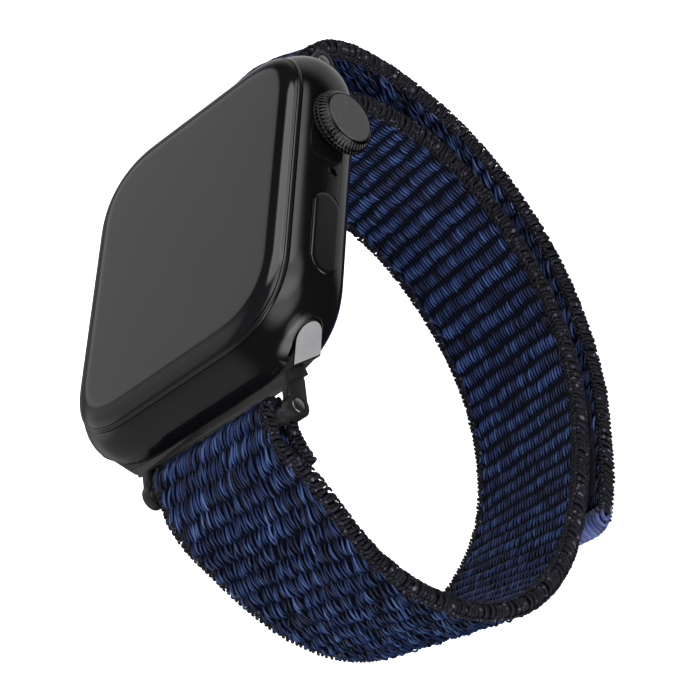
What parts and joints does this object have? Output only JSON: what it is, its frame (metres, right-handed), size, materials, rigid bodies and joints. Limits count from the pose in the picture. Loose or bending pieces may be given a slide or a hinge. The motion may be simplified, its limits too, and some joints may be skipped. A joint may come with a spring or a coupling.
{
  "type": "fitness tracker watch",
  "caption": "Wrist-worn fitness tracker: rounded case with display, turning crown and side button, on a woven hook-and-loop strap held by slide-in connectors.",
  "frame": {"origin": "centre of the flat middle of the rear crystal, which rests on the wrist or on a charger", "axes": "+Z out of the display, +X towards the crown, +Y towards the upper end of the case; the strap loop hangs below, round an axis along X"},
  "size_m": [0.0406, 0.0737, 0.0616],
  "materials": {
    "black_case": "polished black anodised",
    "cover_glass": "polished, almost opaque black",
    "bezel": "gloss black",
    "screen": "dark screen",
    "seal_rubber": "matte black",
    "crystal": "polished black",
    "board": "solder mask",
    "copper": "enamelled copper",
    "cell": "foil",
    "can": "tinned steel",
    "module": "moulded black",
    "mesh": "fine mesh",
    "bush_metal": "turned",
    "crown_black": "black anodised, knurled",
    "crown_satin": "satin black anodised",
    "steel": "ground",
    "button_black": "polished black anodised",
    "connector_black": "polished dark grey",
    "weave_blue": "looped woven nylon, navy blue",
    "thread_black": "sewing thread",
    "hook_tape": "hook tape",
    "binding_blue": "satin overlock thread"
  },
  "bodies": {
    "case": {"case_body": "black_case", "display_glass": "cover_glass", "bezel_ring": "bezel", "display_panel": "screen", "display_seal": "seal_rubber", "rear_cover": "black_case", "rear_seal": "seal_rubber", "sensor_crystal": "crystal", "sensor_board": "board", "charging_coil": "copper", "battery": "cell", "main_board": "board", "shield_can": "can", "haptic_motor": "can", "speaker": "module", "speaker_mesh": "mesh", "microphone": "can", "crown_bush": "bush_metal", "crown_seal": "seal_rubber", "crown_switch": "module", "side_switch": "module", "side_button_seal": "seal_rubber"},
    "crown_slide": {"crown_plunger": "module"},
    "crown": {"crown_knob": "crown_black", "crown_cap": "crown_satin", "crown_shaft": "steel", "crown_encoder": "steel"},
    "side_button": {"side_button": "button_black"},
    "release_lower": {"release_button_lower": "crown_black"},
    "release_upper": {"release_button_upper": "crown_black"},
    "band": {"connector_lower": "connector_black", "connector_upper": "connector_black", "bar_pin_lower": "steel", "bar_pin_upper": "steel", "latch_pin_lower": "steel", "latch_pin_upper": "steel", "strap_ribbon": "weave_blue", "fold_stitching": "thread_black"},
    "tail": {"strap_tail": "weave_blue", "hook_patch": "hook_tape", "tail_binding": "binding_blue"}
  },
  "joints": [
    {"name": "crown_press", "type": "slide", "parent": "case", "child": "crown_slide", "axis": [-1, 0, 0], "range_m": [0, 0.0003], "stiffness_N_per_m": 4000, "springref_m": -0.0002},
    {"name": "crown_turn", "type": "hinge", "parent": "crown_slide", "child": "crown", "pos_m": [0.0194, 0.007, 0.0062], "axis": [1, 0, 0], "continuous": true},
    {"name": "button_press", "type": "slide", "parent": "case", "child": "side_button", "axis": [-1, 0, 0], "range_m": [0, 0.0003], "stiffness_N_per_m": 4000, "springref_m": -0.0002},
    {"name": "release_lower_press", "type": "slide", "parent": "case", "child": "release_lower", "axis": [0, 0, 1], "range_m": [0, 0.0003], "stiffness_N_per_m": 3000, "springref_m": -0.0002},
    {"name": "release_upper_press", "type": "slide", "parent": "case", "child": "release_upper", "axis": [0, 0, 1], "range_m": [0, 0.0003], "stiffness_N_per_m": 3000, "springref_m": -0.0002},
    {"name": "band_slide", "type": "slide", "parent": "case", "child": "band", "axis": [1, 0, 0], "range_m": [-0.036, 0.036]},
    {"name": "tail_peel", "type": "hinge", "parent": "band", "child": "tail", "pos_m": [0, 0.0087, -0.04736], "axis": [0.9795, -0.0979, 0.1763], "range_deg": [0, 75]}
  ]
}
